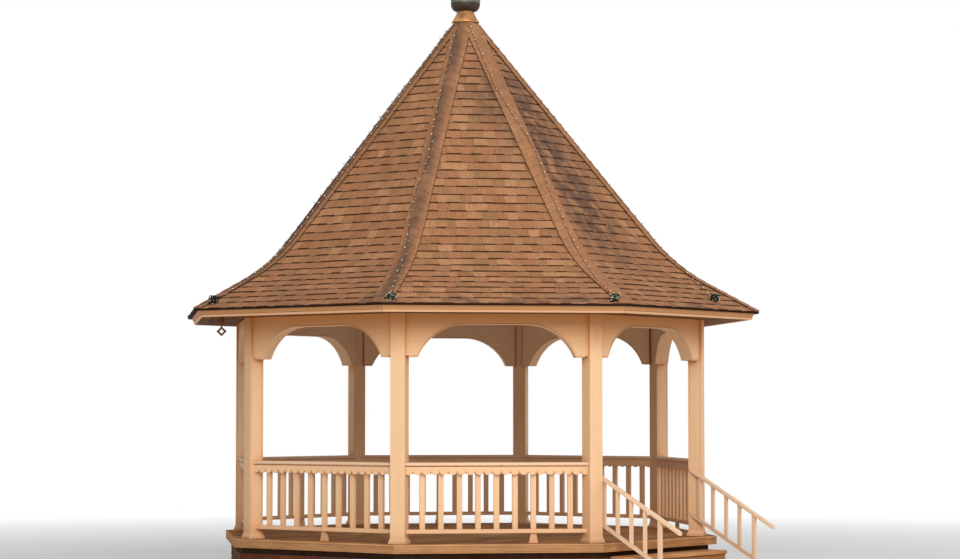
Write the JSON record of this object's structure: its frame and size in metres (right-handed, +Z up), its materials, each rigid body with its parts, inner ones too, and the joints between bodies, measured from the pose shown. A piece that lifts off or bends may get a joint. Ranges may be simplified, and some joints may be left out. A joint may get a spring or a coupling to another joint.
{
  "type": "octagonal bandstand",
  "caption": "Open eight-sided timber bandstand with a steep bell-cast shingle roof, arched headers, baluster railings with scalloped valances, a brick base and a stair.",
  "frame": {"origin": "on the ground at the middle of the octagon, on the foot of the pier under the deck", "axes": "+Z up; -Y looks out through the middle of the bay with the stair; +X to the right of a person facing the stair"},
  "size_m": [6.7626, 7.171, 7.8844],
  "materials": {
    "brick": "rough red brick with pale mortar",
    "dark_wood": "dark weathered timber",
    "rough_wood": "sawn framing timber",
    "deck_wood": "weathered brown deck boards",
    "rim_wood": "worn tan board",
    "shingle": "weathered brown mineral shingles",
    "copper": "dulled copper sheet",
    "lantern_metal": "dark weathered metal",
    "lantern_glass": "dusty clear glass",
    "light_wire": "green insulated wire",
    "painted_wood": "aged peach-cream paint"
  },
  "bodies": {
    "root": {"centre_pier": "brick", "brick_base": "brick", "sill_plate": "dark_wood", "floor_frame": "rough_wood", "deck": "deck_wood", "deck_rim": "rim_wood", "posts": "painted_wood", "post_plinths": "painted_wood", "header_1": "painted_wood", "header_2": "painted_wood", "header_3": "painted_wood", "header_4": "painted_wood", "header_5": "painted_wood", "header_6": "painted_wood", "header_7": "painted_wood", "header_8": "painted_wood", "railing_2": "painted_wood", "railing_3": "painted_wood", "railing_4": "painted_wood", "railing_5": "painted_wood", "railing_6": "painted_wood", "railing_7": "painted_wood", "railing_8": "painted_wood", "rail_caps": "painted_wood", "scalloped_valances": "painted_wood", "stair_stringers": "rough_wood", "stair_treads": "deck_wood", "stair_risers": "deck_wood", "stair_rail_left": "painted_wood", "stair_rail_right": "painted_wood", "rafters": "rough_wood", "soffit": "dark_wood", "fascia": "painted_wood", "roof_panel_1": "shingle", "roof_panel_2": "shingle", "roof_panel_3": "shingle", "roof_panel_4": "shingle", "roof_panel_5": "shingle", "roof_panel_6": "shingle", "roof_panel_7": "shingle", "roof_panel_8": "shingle", "hip_caps": "shingle", "light_strings": "light_wire", "roof_collar": "copper", "lantern_bowl": "lantern_metal", "lantern_frame": "lantern_metal", "lantern_glass": "lantern_glass", "lantern_cap": "copper"}
  },
  "joints": []
}
